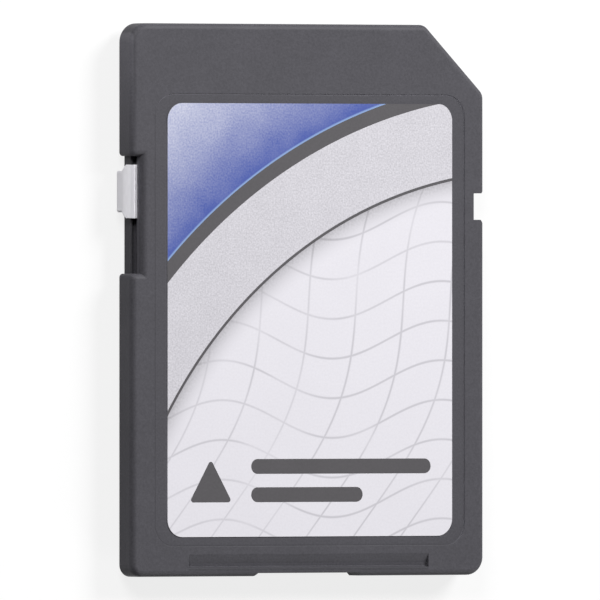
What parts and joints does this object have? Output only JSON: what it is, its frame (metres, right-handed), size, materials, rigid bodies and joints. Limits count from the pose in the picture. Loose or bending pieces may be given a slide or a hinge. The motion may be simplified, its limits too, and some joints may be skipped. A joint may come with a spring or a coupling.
{
  "type": "memory card",
  "caption": "Flat full-size flash memory card with a cut corner, side rails, recessed gold contacts at the back, a printed label and a sliding write-protect tab.",
  "frame": {"origin": "centre of the card's back face, which lies on the surface", "axes": "+X to the right as seen from the label, +Y towards the contact edge, +Z from the back face to the label"},
  "size_m": [0.0242, 0.032, 0.0021],
  "materials": {
    "cover_plastic": "fine spark-eroded texture, dark grey",
    "label_film": "printed satin film",
    "slider_plastic": "smooth, near white",
    "board_laminate": "green solder mask on glass laminate",
    "contact_gold": "hard gold plate",
    "chip_epoxy": "moulded black epoxy",
    "lead_metal": "tin plate",
    "capacitor_ceramic": "fired ceramic",
    "resistor_ceramic": "coated ceramic"
  },
  "bodies": {
    "card": {"rear_cover": "cover_plastic", "front_cover": "cover_plastic", "front_label": "label_film", "circuit_board": "board_laminate", "contact_pad_1": "contact_gold", "contact_pad_2": "contact_gold", "contact_pad_3": "contact_gold", "contact_pad_4": "contact_gold", "contact_pad_5": "contact_gold", "contact_pad_6": "contact_gold", "contact_pad_7": "contact_gold", "contact_pad_8": "contact_gold", "contact_pad_9": "contact_gold", "memory_chip": "chip_epoxy", "memory_chip_leads": "lead_metal", "controller_chip": "chip_epoxy", "controller_leads": "lead_metal", "capacitor_1": "capacitor_ceramic", "capacitor_2": "capacitor_ceramic", "capacitor_3": "capacitor_ceramic", "capacitor_4": "capacitor_ceramic", "resistor_1": "resistor_ceramic", "resistor_2": "resistor_ceramic", "resistor_3": "resistor_ceramic", "resistor_4": "resistor_ceramic"},
    "slider": {"lock_slider": "slider_plastic"}
  },
  "joints": [
    {"name": "lock_slide", "type": "slide", "parent": "card", "child": "slider", "axis": [0, -1, 0], "range_m": [0, 0.0028]}
  ]
}
